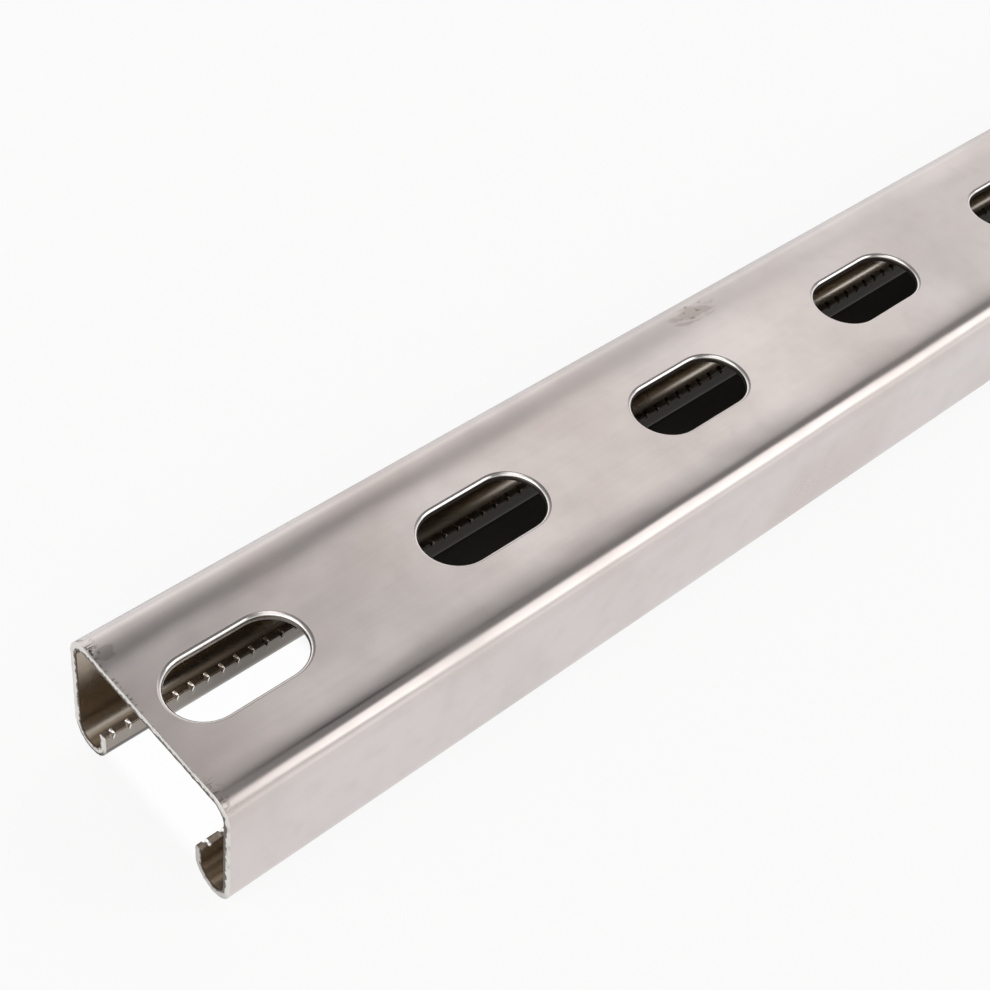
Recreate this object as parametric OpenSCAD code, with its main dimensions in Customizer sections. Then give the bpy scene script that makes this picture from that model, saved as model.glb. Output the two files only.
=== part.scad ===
// Slotted mounting rail: one strip of steel rolled into a channel with curled-in, serrated lips.
// It lies on its lips with the slotted web upward. X runs along the rail, Y across it, Z up.

/* [Rail] */
// Length of the cut piece
rail_length = 1000; // [300:50:3000]
// Overall width across the two side walls
rail_width = 41; // [38:1:60]
// Overall depth from the web to the bottom of the lips
rail_depth = 25; // [21:1:62]
// Thickness of the strip
sheet = 1.5; // [1.2:0.1:2.5]
// Outer radius of the two bends beside the web
bend_radius = 4; // [3:0.25:5]

/* [Lips] */
// Width of each lip, from the outside of the side wall to the open slit
lip_width = 8.5; // [8:0.25:12]
// Depth of each lip, from its rounded bottom to its free edge
lip_depth = 7; // [6.5:0.25:9]

/* [Serrations on the lips' free edges] */
// Distance from one serration to the next
notch_pitch = 3; // [2:0.25:6]
// Width of a serration where it opens at the lip's edge
notch_width = 0.9; // [0.5:0.1:1.2]
// Depth of a serration
notch_depth = 0.6; // [0.3:0.1:1]
// Distance from the near end of the rail to the first serration
first_notch = 1.6; // [1:0.1:3]

/* [Slots] */
// Length of a slot, end to end
slot_length = 25; // [18:0.5:32]
// Width of a slot
slot_width = 13; // [9:0.5:14]
// Distance from one slot's centre to the next
slot_pitch = 50; // [40:5:100]
// Distance from the near end of the rail to the first slot's centre
first_slot = 16.5; // [16.5:0.5:40]

/* [Hidden] */
$fn = 64;
// Least land left between the last slot and the far end
end_land = 4;
// How far a slot's cutter runs past the sheet on each side
cut_over = 1;
curl_radius = lip_width / 2;
side_x = rail_width / 2;
web_half = side_x - bend_radius;
lip_face = side_x - lip_width;
slot_room = rail_length - first_slot - slot_length / 2 - end_land;
slot_count = 1 + floor(slot_room / slot_pitch);
notch_room = rail_length - first_notch - notch_width;
notch_count = 1 + floor(notch_room / notch_pitch);

// A quarter of a bend: the strip turned about the origin between two square directions.
module quarter_bend(radius, turn) {
    rotate(turn)
    intersection() {
        difference() {
            circle(radius);
            circle(radius - sheet);
        }
        square(radius);
    }
}

// Half of the section: half the web, a bend, a side wall, and the lip curled inward and up.
module half_section() {
    translate([0, rail_depth - sheet])
    square([web_half, sheet]);
    translate([web_half, rail_depth - bend_radius])
    quarter_bend(bend_radius, 0);
    translate([side_x - sheet, curl_radius])
    square([sheet, rail_depth - bend_radius - curl_radius]);
    translate([side_x - curl_radius, curl_radius]) {
        quarter_bend(curl_radius, 180);
        quarter_bend(curl_radius, 270);
    }
    translate([lip_face, curl_radius])
    square([sheet, lip_depth - curl_radius]);
}

module section() {
    half_section();
    mirror([1, 0]) half_section();
}

// One slot's outline, with full round ends.
module slot_outline() {
    straight = slot_length - slot_width;
    square([straight, slot_width], center = true);
    for (end = [-1, 1]) {
        translate([end * straight / 2, 0])
        circle(d = slot_width);
    }
}

module slots() {
    for (index = [0 : slot_count - 1]) {
        translate([first_slot + index * slot_pitch, 0, rail_depth - sheet - cut_over])
        linear_extrude(sheet + 2 * cut_over)
        slot_outline();
    }
}

// The side view of the comb that presses the serrations: a back with a row of V teeth below it.
module comb_outline() {
    clear = notch_depth / 2;
    low = lip_depth + clear;
    half = notch_width / 2 * (notch_depth + clear) / notch_depth;
    teeth = [
        for (index = [0 : notch_count - 1], corner = [-1, 0, 1])
        [
            first_notch + index * notch_pitch + corner * half,
            corner == 0 ? lip_depth - notch_depth : low
        ]
    ];
    back = [[teeth[len(teeth) - 1].x, low + clear], [teeth[0].x, low + clear]];
    polygon(concat(teeth, back));
}

// Serrations straight across both lips' free edges.
module serrations() {
    reach = lip_face + sheet + cut_over;
    translate([0, reach, 0])
    rotate([90, 0, 0])
    linear_extrude(2 * reach)
    comb_outline();
}

module rail() {
    color("gainsboro")
    translate([-rail_length / 2, 0, 0])
    difference() {
        rotate([90, 0, 90])
        linear_extrude(rail_length)
        section();
        slots();
        serrations();
    }
}

rail();
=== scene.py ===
import math

import bmesh
import bpy
from mathutils import Matrix, Vector, noise


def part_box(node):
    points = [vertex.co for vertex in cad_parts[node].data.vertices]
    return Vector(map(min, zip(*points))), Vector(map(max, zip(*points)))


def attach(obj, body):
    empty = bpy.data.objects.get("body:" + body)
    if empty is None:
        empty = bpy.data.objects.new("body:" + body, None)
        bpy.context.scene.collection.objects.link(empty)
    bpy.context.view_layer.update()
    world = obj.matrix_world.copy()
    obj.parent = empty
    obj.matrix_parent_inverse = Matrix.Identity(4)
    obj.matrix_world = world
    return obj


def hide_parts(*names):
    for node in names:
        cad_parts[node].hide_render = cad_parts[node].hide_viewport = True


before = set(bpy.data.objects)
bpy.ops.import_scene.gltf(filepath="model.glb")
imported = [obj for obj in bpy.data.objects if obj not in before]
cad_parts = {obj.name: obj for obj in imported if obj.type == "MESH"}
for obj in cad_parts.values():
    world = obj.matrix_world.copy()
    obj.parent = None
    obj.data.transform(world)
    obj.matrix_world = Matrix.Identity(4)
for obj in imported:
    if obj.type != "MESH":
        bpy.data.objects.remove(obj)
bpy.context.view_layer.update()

# Sizes in millimetres. The overall ones are read from the rail in model.glb,
# and the others have the names and values of the part's source.
MM = 0.001
rail_low, rail_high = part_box("rail")
NEAR_END = round(rail_low.x / MM, 3)
LENGTH = round((rail_high.x - rail_low.x) / MM, 3)
WIDTH = round((rail_high.y - rail_low.y) / MM, 3)
DEPTH = round(rail_high.z / MM, 3)
SHEET = 1.5
BEND_RADIUS = 4.0
LIP_WIDTH = 8.5
LIP_DEPTH = 7.0
NOTCH_PITCH = 3.0
NOTCH_WIDTH = 0.9
NOTCH_DEPTH = 0.6
FIRST_NOTCH = 1.6
SLOT_LENGTH = 25.0
SLOT_WIDTH = 13.0
SLOT_PITCH = 50.0
FIRST_SLOT = 16.5
END_LAND = 4.0

# The worn rim of a cut end: how far in it begins, how far its outline shrinks, and how ragged it is
CAP_DEPTH = 0.25
CAP_INSET = 0.12
CAP_STEPS = 3
RAGGED = 0.16

# The lips' free edges: their rounding, and how far they swell beside a serration on the slit's side
EDGE_ROUND = 0.28
EDGE_STEPS = 3
SWELL = 0.14
# Half of a swell's length along the rail, in widths of a serration
SWELL_REACH = 0.8
# Rows below the rounding, as (share of the way up to it, share of the swell)
SWELL_ROWS = ((0, 0), (0.35, 0.45), (0.7, 1.0))
# The share of the swell that is left where the rounding begins
SWELL_AT_ROUNDING = 0.7
# The comb sinks deeper on the slit's side of a lip than on its back, as shares of the serrations' depth
FRONT_SHARE = 1.25
BACK_SHARE = 0.3
# Height of the band below a free edge that has points at each serration
FINE_BAND = 1.9
# Places of those points, in widths of a serration from its middle
NOTCH_POINTS = (-SWELL_REACH, -0.5, -0.22, 0, 0.22, 0.5, SWELL_REACH)
# Points that would come closer together than this are merged
LEAST_GAP = 0.03

# Towards its bends, from WEB_FLAT out, the web's surface leans as if it sank a little. Only the normals
# show it. A lead is (slope where the bend begins, power of its growth), for the -Y and the +Y side.
WEB_FLAT = 8.0
LEAD_NEAR = (0.14, 2)
LEAD_FAR = (0.33, 2.3)

# A punched edge from the web's top to its underside,
# as (distance out from the hole's wall, depth below the web's top)
PUNCHED_EDGE = (
    (0.78, 0.0), (0.73, 0.006), (0.65, 0.026), (0.57, 0.05), (0.5, 0.074), (0.43, 0.102),
    (0.37, 0.132), (0.31, 0.17), (0.25, 0.216), (0.18, 0.284), (0.11, 0.37), (0.05, 0.47),
    (0.01, 0.6), (0.0, 0.8), (0.0, 1.0), (0.05, 1.1), (0.1, 1.4), (0.17, 1.5),
)
# Steps down that edge before which it is rolled steel, burnished and dull. From DULL_STEPS on it is torn.
ROLLED_STEPS = 5
BURNISHED_STEPS = 10
DULL_STEPS = 14
# The punched walls stand this far inside the slots' nominal outline
SLOT_TIGHT = 0.2

# Into how many parts the forms are divided
SLOT_ARC_STEPS = 12
WEB_STEPS = 10
LEAD_STEPS = 12
BEND_STEPS = 10
WALL_STEPS = 14
CURL_STEPS = 24

# Distances along the middle of the sheet, from the middle of the web
THICK = SHEET / 2
HALF_WIDTH = WIDTH / 2
CURL_RADIUS = LIP_WIDTH / 2
LIP_FACE = HALF_WIDTH - LIP_WIDTH
BEND_MID = BEND_RADIUS - THICK
CURL_MID = CURL_RADIUS - THICK
WEB_END = HALF_WIDTH - BEND_RADIUS
BEND_ARC = BEND_MID * math.pi / 2
WALL_START = WEB_END + BEND_ARC
CURL_START = WALL_START + DEPTH - BEND_RADIUS - CURL_RADIUS
LEG_START = CURL_START + CURL_MID * math.pi
STRIP_END = LEG_START + LIP_DEPTH - CURL_RADIUS
FINE_START = STRIP_END - FINE_BAND

# The steel's finishes, in the order of the rail's materials
OUTSIDE, INSIDE, CUT, PUNCHED, LAND, FLANK = range(6)

# Edges between faces that meet at more than this stay sharp
SHARP_ANGLE = math.radians(38)
# How much more a large face counts than a small one in the smooth normals, up to 100
NORMALS_WEIGHT = 80
# One unit of the flat strip's UV coordinates in millimetres
UV_UNIT = 100


def spread(first, last, steps):
    """Evenly spaced values, both ends included."""
    return [first + (last - first) * step / steps for step in range(steps + 1)]


# Places along the rail
slot_room = LENGTH - FIRST_SLOT - SLOT_LENGTH / 2 - END_LAND
slot_count = 1 + int(slot_room // SLOT_PITCH)
SLOT_CENTRES = [FIRST_SLOT + index * SLOT_PITCH for index in range(slot_count)]
BETWEEN_SLOTS = [centre + SLOT_PITCH / 2 for centre in SLOT_CENTRES[:-1]]
TILE_EDGES = [CAP_DEPTH] + BETWEEN_SLOTS + [LENGTH - CAP_DEPTH]
STATIONS = sorted(TILE_EDGES + SLOT_CENTRES)
notch_room = LENGTH - FIRST_NOTCH - NOTCH_WIDTH
notch_count = 1 + int(notch_room // NOTCH_PITCH)
NOTCHES = [FIRST_NOTCH + index * NOTCH_PITCH for index in range(notch_count)]

# Rows across the rail, on one side of its middle
WEB_ROWS = spread(0, WEB_FLAT, WEB_STEPS)
SIDE_ROWS = (
    spread(WEB_FLAT, WEB_END, LEAD_STEPS)
    + spread(WEB_END, WALL_START, BEND_STEPS)[1:]
    + spread(WALL_START, CURL_START, WALL_STEPS)[1:]
    + spread(CURL_START, LEG_START, CURL_STEPS)[1:]
)
END_ROWS = WEB_ROWS + SIDE_ROWS[1:]


def sink(s, lead):
    """How far the web's edge, a bend and a side wall sink at s for a lead."""
    slope, power = lead
    rise = WEB_END - WEB_FLAT
    at_bend = slope * rise / (power + 1)
    if s <= WEB_FLAT:
        return 0.0
    if s <= WEB_END:
        return at_bend * ((s - WEB_FLAT) / rise) ** (power + 1)
    if s <= WALL_START:
        part = (s - WEB_END) / BEND_ARC
        return at_bend + slope * BEND_ARC * (part - part * part / 2)
    part = min(1, (s - WALL_START) / (CURL_START - WALL_START))
    return (at_bend + slope * BEND_ARC / 2) * (1 - part)


def square_fold(s, lift):
    """Where a point of the flat strip ends up, as (y, z), for s from 0 up and a flat web.

    lift is the point's distance outward from the sheet's middle.
    """
    if s <= WEB_END:
        return s, DEPTH - THICK + lift
    if s <= WALL_START:
        turn = (s - WEB_END) / BEND_MID
        reach = BEND_MID + lift
        return WEB_END + reach * math.sin(turn), DEPTH - BEND_RADIUS + reach * math.cos(turn)
    if s <= CURL_START:
        return HALF_WIDTH - THICK + lift, DEPTH - BEND_RADIUS - (s - WALL_START)
    if s <= LEG_START:
        turn = (s - CURL_START) / CURL_MID
        reach = CURL_MID + lift
        y = HALF_WIDTH - CURL_RADIUS + reach * math.cos(turn)
        return y, CURL_RADIUS - reach * math.sin(turn)
    return LIP_FACE + THICK - lift, CURL_RADIUS + s - LEG_START


def fold(s, lift, leaning):
    """The same for both sides of the rail, with the web's edges sunk where leaning is true."""
    side, lead = (-1, LEAD_NEAR) if s < 0 else (1, LEAD_FAR)
    y, z = square_fold(abs(s), lift)
    return side * y, z - (sink(abs(s), lead) if leaning else 0)


def ragged(x, s, lift):
    """How far a point of a cut end is worn back from the end's plane."""
    from_end = min(x, LENGTH - x)
    if from_end >= CAP_DEPTH:
        return 0.0
    coarse = noise.noise(Vector((s * 0.9, lift * 1.5, x)))
    fine = noise.noise(Vector((s * 2.7, lift * 3.0, x + 7)))
    wear = min(1, max(0, 0.4 + 0.5 * coarse + 0.4 * fine))
    return RAGGED * wear * (1 - from_end / CAP_DEPTH)


class Strip:
    """Collects the sheet's faces. Each corner is (x from the near end, s across the strip, lift)."""

    def __init__(self):
        self.corners = {}
        self.faces = []
        self.kinds = []

    def corner(self, x, s, lift):
        """The number of a corner, the same one for the same place."""
        key = (round(x, 4), round(s, 4), round(lift, 4))
        return self.corners.setdefault(key, len(self.corners))

    def face(self, points, kind):
        """One face. Points that fall together count once."""
        found = []
        for point in points:
            index = self.corner(*point)
            if index not in found:
                found.append(index)
        if len(found) > 2:
            self.faces.append(found)
            self.kinds.append(kind)

    def band(self, first, second, kind):
        """Quads between two rows with as many points each."""
        for a, b, c, d in zip(first, first[1:], second[1:], second):
            self.face((a, b, c, d), kind)

    def positions(self, leaning):
        """The corners' places in metres, with the web's edges sunk or in their true place."""
        places = []
        for x, s, lift in self.corners:
            inward = ragged(x, s, lift)
            y, z = fold(s, lift, leaning)
            along = x + inward if x < LENGTH / 2 else x - inward
            places.append(((NEAR_END + along) * MM, y * MM, z * MM))
        return places


def face_kind(lift):
    """The finish of the sheet's outer or inner face."""
    return OUTSIDE if lift > 0 else INSIDE


def slot_quarter(centre, grow, way, upper):
    """A quarter of one slot's outline, from its round end to the middle of its straight edge."""
    straight = (SLOT_LENGTH - SLOT_WIDTH) / 2
    radius = SLOT_WIDTH / 2 - SLOT_TIGHT + grow
    points = []
    for turn in spread(0, math.pi / 2, SLOT_ARC_STEPS):
        x = centre + way * (straight + radius * math.cos(turn))
        points.append((x, upper * radius * math.sin(turn)))
    points.append((centre, upper * radius))
    return points


def add_web_quarter(strip, lift, grow, centre, edge, upper):
    """The web's flat face around a quarter of one slot, out to an edge of the slot's tile."""
    way = -1 if edge < centre else 1
    at_end = edge in (TILE_EDGES[0], TILE_EDGES[-1])
    rows = WEB_ROWS[::-1] if at_end else (WEB_FLAT, 0)
    outline = slot_quarter(centre, grow, way, upper)
    border = [(centre, upper * WEB_FLAT)] + [(edge, upper * s) for s in rows]
    strip.face([(x, s, lift) for x, s in outline + border], face_kind(lift))


def add_web(strip):
    """The web's two flat faces, as one tile for each slot."""
    for lift, grow in ((THICK, PUNCHED_EDGE[0][0]), (-THICK, PUNCHED_EDGE[-1][0])):
        for centre, left, right in zip(SLOT_CENTRES, TILE_EDGES, TILE_EDGES[1:]):
            for edge in (left, right):
                for upper in (-1, 1):
                    add_web_quarter(strip, lift, grow, centre, edge, upper)


def punched_kind(step):
    """The finish of one step down a punched edge."""
    if step < ROLLED_STEPS:
        return OUTSIDE
    if step < BURNISHED_STEPS:
        return PUNCHED
    return LAND if step < DULL_STEPS else CUT


def add_slot_edges(strip):
    """The punched walls of the slots: drawn in and burnished above, torn below."""
    for centre in SLOT_CENTRES:
        for way in (-1, 1):
            for upper in (-1, 1):
                rings = []
                for out, down in PUNCHED_EDGE:
                    quarter = slot_quarter(centre, out, way, upper)
                    rings.append([(x, s, THICK - down) for x, s in quarter])
                for step, (first, second) in enumerate(zip(rings, rings[1:])):
                    strip.band(first, second, punched_kind(step))


def add_sides(strip):
    """The web's edges, the bends, the side walls and the curls."""
    for side in (-1, 1):
        for lift in (-THICK, THICK):
            rows = [[(x, side * s, lift) for x in STATIONS] for s in SIDE_ROWS]
            for first, second in zip(rows, rows[1:]):
                strip.band(first, second, face_kind(lift))


def notch_share(x, half):
    """1 at the middle of a serration, and 0 from half a width away."""
    index = round((x - FIRST_NOTCH) / NOTCH_PITCH)
    middle = NOTCHES[min(max(index, 0), len(NOTCHES) - 1)]
    return max(0.0, 1 - abs(x - middle) / half)


def lip_rows(x):
    """A lip's edge at x, from the slit's face over the free edge to the back.

    Each point is (s, lift, outward s, outward lift).
    """
    sunk = NOTCH_DEPTH * notch_share(x, NOTCH_WIDTH / 2)
    front = STRIP_END - EDGE_ROUND - FRONT_SHARE * sunk
    back = STRIP_END - EDGE_ROUND - BACK_SHARE * sunk
    swell = SWELL * math.sin(math.pi / 2 * notch_share(x, NOTCH_WIDTH * SWELL_REACH)) ** 2
    rows = []
    for share, height in SWELL_ROWS:
        rows.append((FINE_START + share * (front - FINE_START), THICK + swell * height, 0, 1))
    for turn in spread(0, math.pi / 2, EDGE_STEPS):
        along, out = math.sin(turn), math.cos(turn)
        lift = THICK + EDGE_ROUND * (out - 1) + SWELL_AT_ROUNDING * swell * out
        rows.append((front + EDGE_ROUND * along, lift, along, out))
    for turn in spread(0, math.pi / 2, EDGE_STEPS):
        along, out = math.cos(turn), math.sin(turn)
        rows.append((back + EDGE_ROUND * along, -THICK - EDGE_ROUND * (out - 1), along, -out))
    return rows


def edge_kind(x):
    """The half of a serration that is farther from the near end shines, and the lands between are dull."""
    past = (x - FIRST_NOTCH + NOTCH_PITCH / 2) % NOTCH_PITCH - NOTCH_PITCH / 2
    return FLANK if 0 < past < NOTCH_WIDTH / 2 else LAND


def fine_stations():
    """Places along the rail where the lips' edges have points."""
    places = set(STATIONS)
    for middle in NOTCHES:
        for share in NOTCH_POINTS:
            places.add(middle + share * NOTCH_WIDTH)
        places.add(middle + NOTCH_PITCH / 2)
    kept = []
    for place in sorted(places):
        crowded = kept and place - kept[-1] < LEAST_GAP
        if CAP_DEPTH <= place <= LENGTH - CAP_DEPTH and (place in STATIONS or not crowded):
            if crowded and kept[-1] not in STATIONS:
                kept.pop()
            kept.append(place)
    return kept


def add_free_edge(strip, first, second):
    """A row of quads along a free edge, each with the finish of its place."""
    for left in range(len(first) - 1):
        middle = (first[left][0] + first[left + 1][0]) / 2
        strip.band(first[left:left + 2], second[left:left + 2], edge_kind(middle))


def add_leg(strip, row, lift, side):
    """One flat face of a leg, from the curl up to a row of the fine band."""
    for left, right in zip(STATIONS, STATIONS[1:]):
        above = [point for point in row if left <= point[0] <= right]
        below = [(right, side * LEG_START, lift), (left, side * LEG_START, lift)]
        strip.face(above + below, face_kind(lift))


def add_lips(strip):
    """The serrated free edges, and the flat legs that carry them."""
    places = fine_stations()
    profiles = [lip_rows(x) for x in places]
    for side in (-1, 1):
        rows = []
        for points in zip(*profiles):
            rows.append([(x, side * point[0], point[1]) for x, point in zip(places, points)])
        for number, (first, second) in enumerate(zip(rows, rows[1:])):
            if number < len(SWELL_ROWS):
                strip.band(first, second, OUTSIDE)
            else:
                add_free_edge(strip, first, second)
        add_leg(strip, rows[0], THICK, side)
        add_leg(strip, rows[-1], -THICK, side)


def end_outline(x):
    """Half of the section at x, from the web's top over the lip's edge to the web's underside."""
    outline = [(s, THICK, 0, 1) for s in END_ROWS]
    outline += lip_rows(x)
    outline += [(s, -THICK, 0, -1) for s in reversed(END_ROWS)]
    return outline


def add_ends(strip):
    """The two cut ends, with their edges a little worn."""
    count = len(END_ROWS)
    for start, way in ((CAP_DEPTH, -1), (LENGTH - CAP_DEPTH, 1)):
        outline = end_outline(start)
        for side in (-1, 1):
            loops = []
            for turn in spread(0, math.pi / 2, CAP_STEPS):
                x = start + way * CAP_DEPTH * math.sin(turn)
                inset = CAP_INSET * (1 - math.cos(turn))
                loops.append([
                    (x, side * (s - inset * out_s), lift - inset * out_lift)
                    for s, lift, out_s, out_lift in outline
                ])
            for first, second in zip(loops, loops[1:]):
                strip.band(first, second, CUT)
            rim = loops[-1]
            strip.band(rim[:count], rim[:-count - 1:-1], CUT)
            strip.face(rim[count - 1:len(rim) - count + 1], CUT)


def store_places(mesh, strip):
    """Keeps each corner's place on the flat strip, for the materials."""
    flat = list(strip.corners)
    layer = mesh.uv_layers.new(name="strip")
    for loop in mesh.loops:
        x, s, _ = flat[loop.vertex_index]
        layer.data[loop.index].uv = (x / UV_UNIT, s / UV_UNIT)
    lifts = mesh.attributes.new("lift", "FLOAT", "POINT")
    for index, (_, _, lift) in enumerate(flat):
        lifts.data[index].value = lift / THICK


def turn_outward(mesh):
    """Makes all faces of the closed sheet face outward."""
    work = bmesh.new()
    work.from_mesh(mesh)
    bmesh.ops.recalc_face_normals(work, faces=work.faces)
    work.to_mesh(mesh)
    work.free()


def lean_normals(rail, strip):
    """Moves the web's sunk edges to their true place and keeps the normals that they had."""
    view = bpy.context.evaluated_depsgraph_get()
    shaped = rail.evaluated_get(view).to_mesh()
    normals = [tuple(corner.vector) for corner in shaped.corner_normals]
    rail.evaluated_get(view).to_mesh_clear()
    rail.modifiers.clear()
    mesh = rail.data
    mesh.vertices.foreach_set("co", [value for place in strip.positions(False) for value in place])
    mesh.update()
    mesh.normals_split_custom_set(normals)


def make_rail():
    """The whole rail, as one piece."""
    strip = Strip()
    add_web(strip)
    add_slot_edges(strip)
    add_sides(strip)
    add_lips(strip)
    add_ends(strip)
    mesh = bpy.data.meshes.new("steel_rail")
    mesh.from_pydata(strip.positions(True), [], strip.faces)
    for polygon, kind in zip(mesh.polygons, strip.kinds):
        polygon.material_index = kind
        polygon.use_smooth = True
    store_places(mesh, strip)
    turn_outward(mesh)
    rail = bpy.data.objects.new("steel_rail", mesh)
    bpy.context.scene.collection.objects.link(rail)
    mesh.set_sharp_from_angle(angle=SHARP_ANGLE)
    even = rail.modifiers.new("even", "WEIGHTED_NORMAL")
    even.keep_sharp = True
    even.weight = NORMALS_WEIGHT
    lean_normals(rail, strip)
    return rail


# Each seed moves the streaks' noise by this much along and across
SEED_STEP = (3.7, 1.9)


class Nodes:
    """Short calls to build the node tree of a material or a world."""

    def __init__(self, owner):
        owner.use_nodes = True
        self.owner = owner
        self.tree = owner.node_tree
        self.tree.nodes.clear()

    def add(self, kind, **settings):
        node = self.tree.nodes.new(kind)
        for key, value in settings.items():
            setattr(node, key, value)
        return node

    def link(self, source, target):
        self.tree.links.new(source, target)

    def value(self, target, source):
        """Sets an input to a number or a colour, or links it."""
        if isinstance(source, (int, float, tuple)):
            target.default_value = source
        else:
            self.link(source, target)

    def math(self, operation, *sources):
        node = self.add("ShaderNodeMath", operation=operation)
        for target, source in zip(node.inputs, sources):
            self.value(target, source)
        return node.outputs[0]

    def product(self, first, *others):
        result = first
        for other in others:
            result = self.math("MULTIPLY", result, other)
        return result

    def streaks(self, along, across, detail, seed):
        """Noise on the flat strip, its features about along by across millimetres."""
        place = self.add("ShaderNodeUVMap", uv_map="strip").outputs["UV"]
        mapping = self.add("ShaderNodeMapping")
        mapping.inputs["Scale"].default_value = (UV_UNIT / along, UV_UNIT / across, 1)
        mapping.inputs["Location"].default_value = (seed * SEED_STEP[0], seed * SEED_STEP[1], 0)
        self.link(place, mapping.inputs["Vector"])
        texture = self.add("ShaderNodeTexNoise", noise_dimensions="2D")
        texture.inputs["Scale"].default_value = 1
        texture.inputs["Detail"].default_value = detail
        self.link(mapping.outputs[0], texture.inputs["Vector"])
        return texture.outputs["Fac"]

    def spots(self, size, detail, seed):
        """Even noise through the solid, its features about size millimetres."""
        place = self.add("ShaderNodeTexCoord").outputs["Object"]
        texture = self.add("ShaderNodeTexNoise", noise_dimensions="4D")
        texture.inputs["Scale"].default_value = 1 / MM / size
        texture.inputs["Detail"].default_value = detail
        texture.inputs["W"].default_value = seed
        self.link(place, texture.inputs["Vector"])
        return texture.outputs["Fac"]

    def along_and_across(self):
        """The place on the flat strip in millimetres, from the near end and from the web's middle."""
        place = self.add("ShaderNodeSeparateXYZ")
        self.link(self.add("ShaderNodeUVMap", uv_map="strip").outputs["UV"], place.inputs[0])
        return self.product(place.outputs[0], UV_UNIT), self.product(place.outputs[1], UV_UNIT)

    def from_end(self, along):
        """The distance from the nearer end."""
        return self.math("MINIMUM", along, self.math("SUBTRACT", LENGTH, along))

    def ramp(self, source, low, high, to_low=0.0, to_high=1.0):
        """A smooth step from to_low at low to to_high at high."""
        node = self.add("ShaderNodeMapRange", interpolation_type="SMOOTHSTEP")
        self.link(source, node.inputs["Value"])
        node.inputs["From Min"].default_value = low
        node.inputs["From Max"].default_value = high
        node.inputs["To Min"].default_value = to_low
        node.inputs["To Max"].default_value = to_high
        return node.outputs[0]

    def mix(self, share, first, second):
        """Two colours mixed, with the second one's share."""
        node = self.add("ShaderNodeMix", data_type="RGBA")
        self.value(node.inputs["Factor"], share)
        self.value(node.inputs[6], first)
        self.value(node.inputs[7], second)
        return node.outputs[2]

    def bump(self, height, distance, normal=None):
        """The normal of a surface whose height changes by up to distance millimetres."""
        node = self.add("ShaderNodeBump")
        node.inputs["Distance"].default_value = distance * MM
        self.link(height, node.inputs["Height"])
        if normal:
            self.link(normal, node.inputs["Normal"])
        return node.outputs[0]

    def metal(self, colour, roughness, normal):
        """The finished material."""
        shader = self.add("ShaderNodeBsdfPrincipled")
        shader.inputs["Metallic"].default_value = 1.0
        self.value(shader.inputs["Base Color"], colour)
        self.value(shader.inputs["Roughness"], roughness)
        self.link(normal, shader.inputs["Normal"])
        out = self.add("ShaderNodeOutputMaterial")
        self.link(shader.outputs[0], out.inputs["Surface"])
        return self.owner


# Colours of the rolled faces, of the marks on them, and of the painted shade on the lips and at the far
# lip's foot
CLEAN_STEEL = (0.7, 0.646, 0.632, 1)
CLOUDY_STEEL = (0.645, 0.595, 0.58, 1)
WARMER = (1.02, 0.985, 0.975)
GRAIN_DARKER = (0.62, 0.62, 0.62)
MOTTLE_DARKER = (0.78, 0.78, 0.78)
# Painted shade on the lips' faces and the curls' undersides: lightest at the ends, darkest just past them,
# a little lighter farther in
LIP_SHADE_AT_END = (0.35, 0.318, 0.284, 1)
LIP_SHADE_PAST_END = (0.18, 0.162, 0.146, 1)
LIP_SHADE_FARTHER_IN = (0.255, 0.23, 0.207, 1)
SCUFF_COLOUR = (0.47, 0.42, 0.395, 1)
SPECK_COLOUR = (0.25, 0.22, 0.2, 1)
DARK_PATCH_COLOUR = (0.24, 0.22, 0.205, 1)
NICK_COLOUR = (0.11, 0.09, 0.075, 1)
# The painted shade at the far lip's foot
FOOT_SHADE_COLOUR = (0.08, 0.068, 0.06, 1)

# The rolled faces' roughness where no cloud or line changes it
ROLLED_ROUGHNESS = 0.21

# Where the lips' painted shade begins on the curls, and where it is full
LIP_SHADE = (CURL_START + 4.5, LEG_START - 0.5)

# A rubbed, dirty patch on the web: its place on the flat strip and its half length and half width
SCUFF_AT = (133.0, 15.0)
SCUFF_SIZE = (4.8, 1.9)
# A darker patch beside the near end's far bend, in the same terms, and its strength
DARK_PATCH_AT = (2.0, 13.9)
DARK_PATCH_SIZE = (1.9, 1.2)
DARK_PATCH_SHARE = 0.5
# The painted shade line at the far lip's foot: where it begins and ends across the strip, as (none, full),
# and how far from an end it stops, as (none, full)
FOOT_INNER = (CURL_START + 6.5, CURL_START + 7.5)
FOOT_OUTER = (CURL_START + 10.95, CURL_START + 10.4)
FOOT_REACH = (12.0, 8.0)
# How far the nicks reach from an end and from a bend's edge, in the same terms
NICKS_FROM_END = (2.6, 0.5)
NICKS_FROM_BEND = (3.6, 1.6)


def scaled(colour, shares):
    """A colour with its red, green and blue multiplied."""
    return tuple(channel * share for channel, share in zip(colour, shares)) + (1,)


def patch(n, along, across, centre, size):
    """One patch with frayed edges, as a share of cover."""
    far_x = n.math("DIVIDE", n.math("SUBTRACT", along, centre[0]), size[0])
    far_s = n.math("DIVIDE", n.math("SUBTRACT", across, centre[1]), size[1])
    far = n.math("SQRT", n.math("ADD", n.product(far_x, far_x), n.product(far_s, far_s)))
    frayed = n.ramp(n.streaks(along=4.5, across=1.6, detail=2, seed=14), 0.3, 0.7, -0.3, 0.3)
    return n.ramp(n.math("ADD", far, frayed), 1.15, 0.7, 0, 0.7)


def painted_foot_shade(n, along, across):
    """Painted shade: a dark line where the far lip's foot meets the floor, in the last millimetres before
    an end.
    """
    from_end = n.from_end(along)
    line = n.product(n.ramp(across, *FOOT_INNER), n.ramp(across, *FOOT_OUTER))
    return n.product(line, n.ramp(from_end, *FOOT_REACH))


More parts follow.
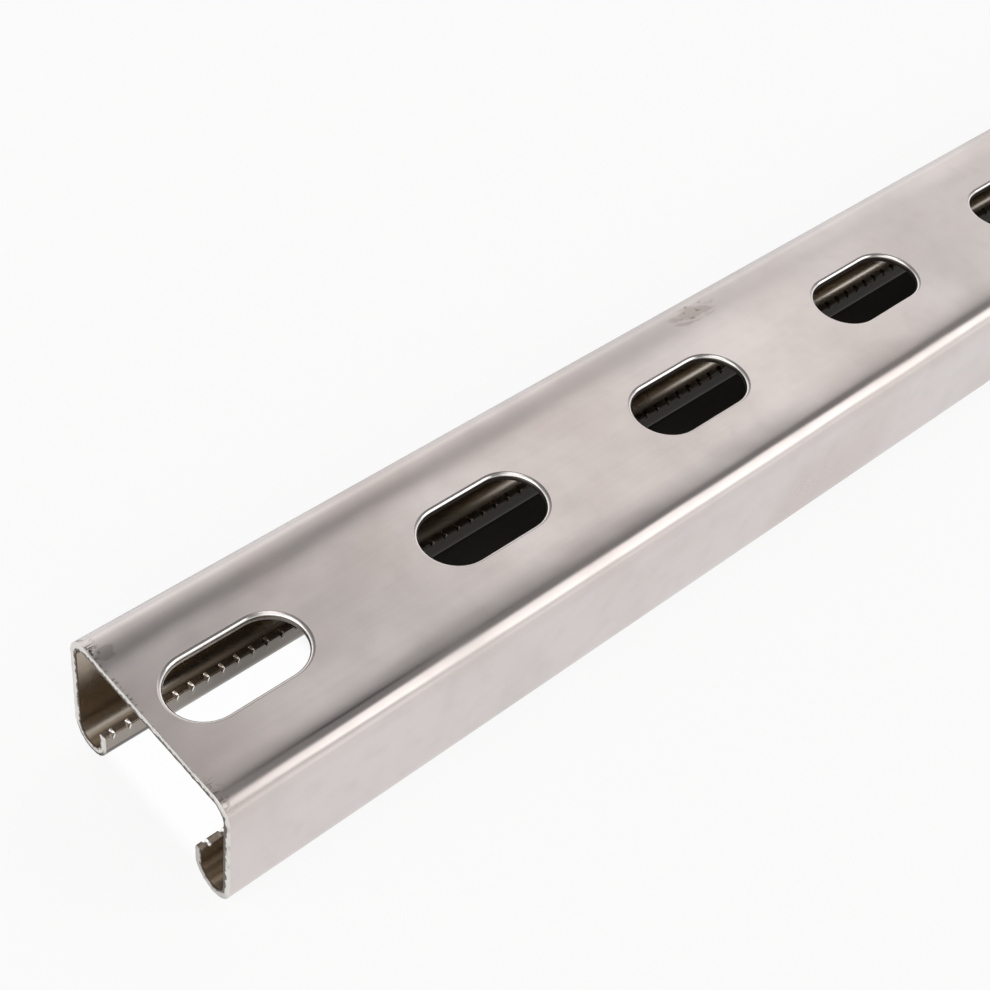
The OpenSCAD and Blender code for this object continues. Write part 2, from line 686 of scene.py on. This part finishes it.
def end_scuffs(n, along, across):
    """Dark nicks and short scratches close to a cut end, most of them at the far bend."""
    from_end = n.from_end(along)
    from_bend = n.math("ABSOLUTE", n.math("SUBTRACT", n.math("ABSOLUTE", across), WEB_END))
    far_side = n.ramp(across, -6.0, 8.0, 0.45, 1.0)
    near_bend = n.product(n.ramp(from_end, *NICKS_FROM_END), n.ramp(from_bend, *NICKS_FROM_BEND))
    at_bend = n.product(near_bend, far_side)
    on_web = n.product(n.ramp(across, -3.0, 6.0), n.ramp(across, WEB_END + 3.0, WEB_END + 1.0))
    at_edge = n.product(n.ramp(from_end, 0.9, 0.3, 0, 0.7), on_web)
    nicks = n.ramp(n.streaks(along=0.8, across=0.9, detail=3, seed=11), 0.55, 0.66)
    scratches = n.ramp(n.streaks(along=2.6, across=0.5, detail=1, seed=15), 0.58, 0.66)
    return n.product(n.math("MAXIMUM", at_bend, at_edge), n.math("MAXIMUM", nicks, scratches))


def clouded(n, grain, clouds):
    """The rolled faces' colour: clean and cloudy patches, warmer places, grain and fine mottling."""
    tint = n.ramp(n.spots(size=45, detail=1, seed=4), 0.4, 0.62)
    mottle = n.ramp(n.spots(size=5, detail=3, seed=18), 0.45, 0.7, 0, 0.14)
    patches = n.mix(tint, CLOUDY_STEEL, scaled(CLOUDY_STEEL, WARMER))
    colour = n.mix(n.ramp(clouds, 0.35, 0.7), CLEAN_STEEL, patches)
    colour = n.mix(n.ramp(grain, 0.5, 0.8, 0, 0.025), colour, scaled(CLOUDY_STEEL, GRAIN_DARKER))
    return n.mix(mottle, colour, scaled(CLOUDY_STEEL, MOTTLE_DARKER))


def painted_lip_shade(n, colour, along, across):
    """Painted shade on the curls' undersides and the lips' faces, least at the ends."""
    from_end = n.from_end(along)
    lip = n.ramp(n.math("ABSOLUTE", across), *LIP_SHADE)
    # dull is the painted shade's colour, by the distance from the nearer end
    dull = n.mix(n.ramp(from_end, 6.0, 27.0), LIP_SHADE_AT_END, LIP_SHADE_PAST_END)
    dull = n.mix(n.ramp(from_end, 30.0, 42.0), dull, LIP_SHADE_FARTHER_IN)
    return n.mix(lip, colour, dull)


def marked_and_shaded(n, colour, along, across):
    """Adds the scuff, the darker patch, the nicks at the ends and the painted shade line at the far lip's
    foot.
    """
    scuff = patch(n, along, across, SCUFF_AT, SCUFF_SIZE)
    specks = n.product(scuff, n.ramp(n.spots(size=1.3, detail=1, seed=17), 0.62, 0.7))
    dark_patch = n.product(patch(n, along, across, DARK_PATCH_AT, DARK_PATCH_SIZE), DARK_PATCH_SHARE)
    colour = n.mix(scuff, colour, SCUFF_COLOUR)
    colour = n.mix(specks, colour, SPECK_COLOUR)
    colour = n.mix(dark_patch, colour, DARK_PATCH_COLOUR)
    colour = n.mix(end_scuffs(n, along, across), colour, NICK_COLOUR)
    return n.mix(painted_foot_shade(n, along, across), colour, FOOT_SHADE_COLOUR)


def rolled_steel():
    """Pickled, cold rolled strip: a fine grain along the rail, cloudy patches and slight waves."""
    n = Nodes(bpy.data.materials.new("rolled_steel"))
    grain = n.streaks(along=14, across=0.16, detail=3, seed=1)
    lines = n.streaks(along=60, across=0.9, detail=2, seed=2)
    clouds = n.spots(size=26, detail=3, seed=3)
    along, across = n.along_and_across()
    colour = clouded(n, grain, clouds)
    colour = painted_lip_shade(n, colour, along, across)
    colour = marked_and_shaded(n, colour, along, across)
    cloud_gloss = n.ramp(clouds, 0.3, 0.7, -0.03, 0.06)
    line_gloss = n.ramp(lines, 0.35, 0.7, -0.006, 0.006)
    roughness = n.math("ADD", n.math("ADD", cloud_gloss, line_gloss), ROLLED_ROUGHNESS)
    waves = n.bump(n.streaks(along=34, across=14, detail=1, seed=5), 0.25)
    waves = n.bump(n.streaks(along=12, across=7, detail=1, seed=16), 0.05, waves)
    normal = n.bump(grain, 0.001, n.bump(lines, 0.0009, waves))
    return n.metal(colour, roughness, normal)


def inner_steel():
    """The channel's inside: browner and duller, darkened by painted shade, with a painted highlight on the
    curls.
    """
    n = Nodes(bpy.data.materials.new("inner_steel"))
    along, across = n.along_and_across()
    from_end = n.from_end(along)
    grain = n.streaks(along=14, across=0.2, detail=3, seed=12)
    clouds = n.spots(size=18, detail=3, seed=13)
    # The inner face's brown; its darker tone is painted shade
    brown = n.mix(n.ramp(clouds, 0.35, 0.7), (0.56, 0.49, 0.41, 1), (0.44, 0.37, 0.29, 1))
    # A pale painted highlight along the curls, which dull, painted shade, dims from about 10 to 44 mm from
    # an end
    curl_middle = CURL_START + CURL_MID * 0.9
    from_curl = n.math("ABSOLUTE", n.math("SUBTRACT", n.math("ABSOLUTE", across), curl_middle))
    dull = n.product(n.ramp(from_end, 10.0, 18.0), n.ramp(from_end, 44.0, 34.0))
    curl = n.mix(dull, (0.66, 0.61, 0.54, 1), (0.33, 0.295, 0.255, 1))
    colour = n.mix(n.ramp(from_curl, 3.2, 1.2), brown, curl)
    colour = n.mix(n.ramp(grain, 0.5, 0.8, 0, 0.15), colour, (0.25, 0.2, 0.15, 1))
    roughness = n.ramp(clouds, 0.3, 0.7, 0.24, 0.34)
    return n.metal(colour, roughness, n.bump(grain, 0.004))


def cut_steel():
    """Sawn and sheared faces: brighter, with short marks, a painted burr shadow inside and painted shade
    on the far curl.
    """
    n = Nodes(bpy.data.materials.new("cut_steel"))
    marks = n.spots(size=0.5, detail=4, seed=6)
    specks = n.spots(size=1.6, detail=3, seed=7)
    across = n.along_and_across()[1]
    lift = n.add("ShaderNodeAttribute", attribute_name="lift").outputs["Fac"]
    spotted = n.ramp(specks, 0.55, 0.75, 0, 0.5)
    colour = n.mix(spotted, (0.78, 0.755, 0.725, 1), (0.4, 0.36, 0.32, 1))
    near_curl = n.ramp(across, -CURL_START, -CURL_START - 3, 0, 0.75)
    colour = n.mix(near_curl, colour, (0.47, 0.44, 0.41, 1))
    # Painted shadow of the burr along the inner edge
    colour = n.mix(burr_shadow_share(n, lift, across), colour, (0.1, 0.08, 0.065, 1))
    # Painted shade along the far curl's outer edge
    far_curl = n.product(
        n.ramp(across, CURL_START + 0.5, CURL_START + 3),
        n.ramp(across, LEG_START, LEG_START - 2),
    )
    painted_curl_edge_shade = n.product(far_curl, n.ramp(lift, 0.1, 0.35))
    colour = n.mix(painted_curl_edge_shade, colour, (0.07, 0.06, 0.05, 1))
    roughness = n.ramp(marks, 0.3, 0.7, 0.26, 0.46)
    return n.metal(colour, roughness, n.bump(marks, 0.03))


def burr_shadow_share(n, lift, across):
    """A painted burr shadow: a dark, ragged band along a cut end's inner edge, widest on the web and the
    near side wall.
    """
    on_web_and_near = n.ramp(across, WEB_END + 2, WEB_END - 1, 0, -0.5)
    on_near_curl = n.ramp(across, -CURL_START, -CURL_START - 3, 0, 0.5)
    frayed = n.ramp(n.spots(size=0.9, detail=3, seed=10), 0.35, 0.65, 0.3, -0.3)
    height = n.math("ADD", lift, n.math("ADD", on_web_and_near, on_near_curl))
    return n.ramp(n.math("ADD", height, frayed), -0.35, -0.7)


def punched_steel():
    """The burnished, rolled-over part of a slot's edge."""
    n = Nodes(bpy.data.materials.new("burnished_edge"))
    marks = n.streaks(along=1.2, across=0.4, detail=2, seed=8)
    rubbed = n.ramp(marks, 0.4, 0.75, 0, 0.3)
    colour = n.mix(rubbed, (0.95, 0.94, 0.93, 1), (0.7, 0.67, 0.63, 1))
    roughness = n.ramp(marks, 0.3, 0.7, 0.12, 0.18)
    return n.metal(colour, roughness, n.bump(marks, 0.006))


# The lips' edges darken by painted shade over this many millimetres, and their roughness varies by this
# much either way
FADE_LENGTH = 22.0
ROUGHNESS_RANGE = 0.05


def pressed_steel(name, clean, worn, inside, fade_start, rough):
    """A lip's free edge, as the comb leaves it, with painted shade farther in from the ends."""
    n = Nodes(bpy.data.materials.new(name))
    marks = n.spots(size=0.6, detail=3, seed=9)
    from_end = n.from_end(n.along_and_across()[0])
    colour = n.mix(n.ramp(marks, 0.4, 0.7), clean, worn)
    # Painted shade: inside is the edge's colour farther in from an end
    colour = n.mix(n.ramp(from_end, fade_start, fade_start + FADE_LENGTH), colour, inside)
    roughness = n.ramp(marks, 0.3, 0.7, rough - ROUGHNESS_RANGE, rough + ROUGHNESS_RANGE)
    return n.metal(colour, roughness, n.bump(marks, 0.006))


def land_steel():
    """The lands between the serrations."""
    # The inside colour is painted shade, farther in from the ends
    return pressed_steel(
        "lip_edge", clean=(0.5, 0.44, 0.385, 1), worn=(0.32, 0.275, 0.235, 1),
        inside=(0.2, 0.175, 0.155, 1), fade_start=8.0, rough=0.38,
    )


def flank_steel():
    """The serrations' bright flanks."""
    return pressed_steel(
        # The inside colour is painted shade, farther in from the ends
        "pressed_flank", clean=(0.98, 0.97, 0.96, 1), worn=(0.95, 0.94, 0.925, 1),
        inside=(0.13, 0.114, 0.102, 1), fade_start=14.0, rough=0.15,
    )


# The floor reaches this many metres from the rail's middle
FLOOR_REACH = 4.0
FLOOR_PALE = (0.9, 0.9, 0.9, 1)
# FLOOR_SHADED is painted shade: the floor's colour under the rail
FLOOR_SHADED = (0.08, 0.075, 0.07, 1)
# How white the camera sees the floor, and how much whiter painted light makes it just inside the channel's
# ends
SEEN_WHITE = 0.88
WHITER_INSIDE = 0.1
# How white the steel mirrors the floor, in the open and under the rail, where painted shade darkens it
MIRRORED_WHITE = 0.71
MIRRORED_SHADED = 0.1
# Where the painted shade on the floor in the channel begins to show and shows in full, from either end
SHADE_START = 38.0
SHADE_FULL = 52.0
# The painted shade and light end this far from the rail's middle, where the curls still hide their soft
# edge
SHADE_EDGE = 18.0
SHADE_SOFTNESS = 2.0
# The painted light on the floor brightens over this distance behind an end
ENTRY_LENGTH = 3.0


def under_rail(n):
    """The floor in the channel as two shares: painted light where it shows through the first slot, and
    painted shade behind it.
    """
    place = n.add("ShaderNodeSeparateXYZ")
    n.link(n.add("ShaderNodeTexCoord").outputs["Object"], place.inputs[0])
    from_end = n.math("SUBTRACT", LENGTH / 2 * MM, n.math("ABSOLUTE", place.outputs["X"]))
    from_middle = n.math("ABSOLUTE", place.outputs["Y"])
    inside = n.ramp(from_end, 0.0, ENTRY_LENGTH * MM)
    deep = n.ramp(from_end, SHADE_START * MM, SHADE_FULL * MM)
    between = n.ramp(from_middle, SHADE_EDGE * MM, (SHADE_EDGE - SHADE_SOFTNESS) * MM)
    front = n.product(between, inside, n.math("SUBTRACT", 1.0, deep))
    return front, n.product(deep, between)


def white_share(n, front, painted_channel_shade):
    """How much of the floor's colour is plain white light, for each kind of ray."""
    path = n.add("ShaderNodeLightPath").outputs
    seen = n.math("MAXIMUM", path["Is Camera Ray"], path["Is Transmission Ray"])
    mirrored = path["Is Glossy Ray"]
    # Painted light whitens the floor just inside the ends, and painted shade darkens it under the rail
    seen_share = n.product(seen, n.math("ADD", n.product(front, WHITER_INSIDE), SEEN_WHITE))
    share = n.math("MAXIMUM", seen_share, n.product(mirrored, MIRRORED_WHITE))
    share = n.product(share, n.math("SUBTRACT", 1.0, painted_channel_shade))
    return n.math("MAXIMUM", share, n.product(mirrored, painted_channel_shade, MIRRORED_SHADED))


def floor_material():
    """A pale floor that keeps the rail's shadow but shows about white, with painted shade and light in the
    channel.
    """
    n = Nodes(bpy.data.materials.new("pale_floor"))
    front, painted_channel_shade = under_rail(n)
    diffuse = n.add("ShaderNodeBsdfDiffuse")
    n.link(n.mix(painted_channel_shade, FLOOR_PALE, FLOOR_SHADED), diffuse.inputs["Color"])
    white = n.add("ShaderNodeEmission")
    mixed = n.add("ShaderNodeMixShader")
    n.link(white_share(n, front, painted_channel_shade), mixed.inputs[0])
    n.link(diffuse.outputs[0], mixed.inputs[1])
    n.link(white.outputs[0], mixed.inputs[2])
    out = n.add("ShaderNodeOutputMaterial")
    n.link(mixed.outputs[0], out.inputs["Surface"])
    return n.owner


def make_floor():
    """The floor at the height of the lips' undersides, as stage."""
    reach = FLOOR_REACH
    mesh = bpy.data.meshes.new("floor")
    corners = [(-reach, -reach, 0), (reach, -reach, 0), (reach, reach, 0), (-reach, reach, 0)]
    mesh.from_pydata(corners, [], [(0, 1, 2, 3)])
    mesh.materials.append(floor_material())
    floor = bpy.data.objects.new("floor", mesh)
    bpy.context.scene.collection.objects.link(floor)


# Soft lights of the studio, as (azimuth from +X, elevation, inner and outer radius in degrees, light).
# Those with a light below 0 are dark cards.
SOFT_LIGHTS = (
    (33, 52.5, 5, 20.5, 0.66),
    (29, 32, 4, 25, 0.36),
    (-47, 37, 16, 20, 1.22),
    (205, 45, 25, 48, 0.75),
    (168, 24, 12, 34, 0.55),
    (0, 89, 5, 12, 1.8),
    (23, 61, 5, 11, -0.56),
    (17, 47, 2, 10, -0.22),
)
# The light of the pale walls and of the dimmer ceiling, and the heights between which it changes
WALL_LIGHT = 1.1
CEILING_LIGHT = 0.225
WALL_TOP = 0.04
CEILING_START = 0.74
LIGHT_COLOUR = (1, 0.985, 0.97, 1)


def direction(azimuth, elevation):
    """The unit vector towards a place in the sky, given in degrees."""
    a, e = math.radians(azimuth), math.radians(elevation)
    return (math.cos(e) * math.cos(a), math.cos(e) * math.sin(a), math.sin(e))


def make_world():
    """A studio with pale walls, a dimmer ceiling and soft lights in it."""
    world = bpy.data.worlds.new("studio")
    bpy.context.scene.world = world
    n = Nodes(world)
    towards = n.add("ShaderNodeTexCoord").outputs["Generated"]
    height = n.add("ShaderNodeSeparateXYZ")
    n.link(towards, height.inputs[0])
    light = n.ramp(height.outputs["Z"], WALL_TOP, CEILING_START, WALL_LIGHT, CEILING_LIGHT)
    for azimuth, elevation, inner, outer, strength in SOFT_LIGHTS:
        near = n.add("ShaderNodeVectorMath", operation="DOT_PRODUCT")
        n.link(towards, near.inputs[0])
        near.inputs[1].default_value = direction(azimuth, elevation)
        edge, middle = math.cos(math.radians(outer)), math.cos(math.radians(inner))
        light = n.math("ADD", light, n.ramp(near.outputs["Value"], edge, middle, 0, strength))
    background = n.add("ShaderNodeBackground")
    background.inputs["Color"].default_value = LIGHT_COLOUR
    n.link(n.math("MAXIMUM", light, 0.0), background.inputs["Strength"])
    out = n.add("ShaderNodeOutputWorld")
    n.link(background.outputs[0], out.inputs["Surface"])


# The camera, found from the slots, the end and the long edges of the photographed rail
CAMERA_PLACE = (-592.057, -143.813, 257.243)
CAMERA_AZIMUTH = 42.702
CAMERA_TILT = 42.291
CAMERA_ROLL = -7.811
FOCAL_PIXELS = 1903.019
PHOTO_PIXELS = 990
# The photo is a crop of its frame: the lens's axis lies this many pixels above the middle
AXIS_ABOVE_MIDDLE = 145
# The sensor in millimetres, and the nearest thing that shows in metres
SENSOR_WIDTH = 36
CLIP_START = 0.01


def camera_turn():
    """The camera's turn: tilted down, then rolled about the line of sight."""
    forward = Vector(direction(CAMERA_AZIMUTH, -CAMERA_TILT))
    roll = math.radians(CAMERA_ROLL)
    right = forward.cross(Vector((0, 0, 1))).normalized()
    down = forward.cross(right)
    rolled_right = math.cos(roll) * right + math.sin(roll) * down
    rolled_down = math.cos(roll) * down - math.sin(roll) * right
    return Matrix((rolled_right, -rolled_down, -forward)).transposed().to_4x4()


def make_camera():
    """The camera at the photograph's viewing angle."""
    lens = bpy.data.cameras.new("camera")
    lens.sensor_width = SENSOR_WIDTH
    lens.lens = FOCAL_PIXELS / PHOTO_PIXELS * lens.sensor_width
    lens.shift_y = -AXIS_ABOVE_MIDDLE / PHOTO_PIXELS
    lens.clip_start = CLIP_START
    camera = bpy.data.objects.new("camera", lens)
    camera.matrix_world = Matrix.Translation(Vector(CAMERA_PLACE) * MM) @ camera_turn()
    bpy.context.scene.collection.objects.link(camera)
    bpy.context.scene.camera = camera


rail = make_rail()
for make_finish in (rolled_steel, inner_steel, cut_steel, punched_steel, land_steel, flank_steel):
    rail.data.materials.append(make_finish())
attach(rail, "root")
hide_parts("rail")
make_floor()
make_world()
make_camera()
bpy.context.scene.view_settings.view_transform = "Standard"
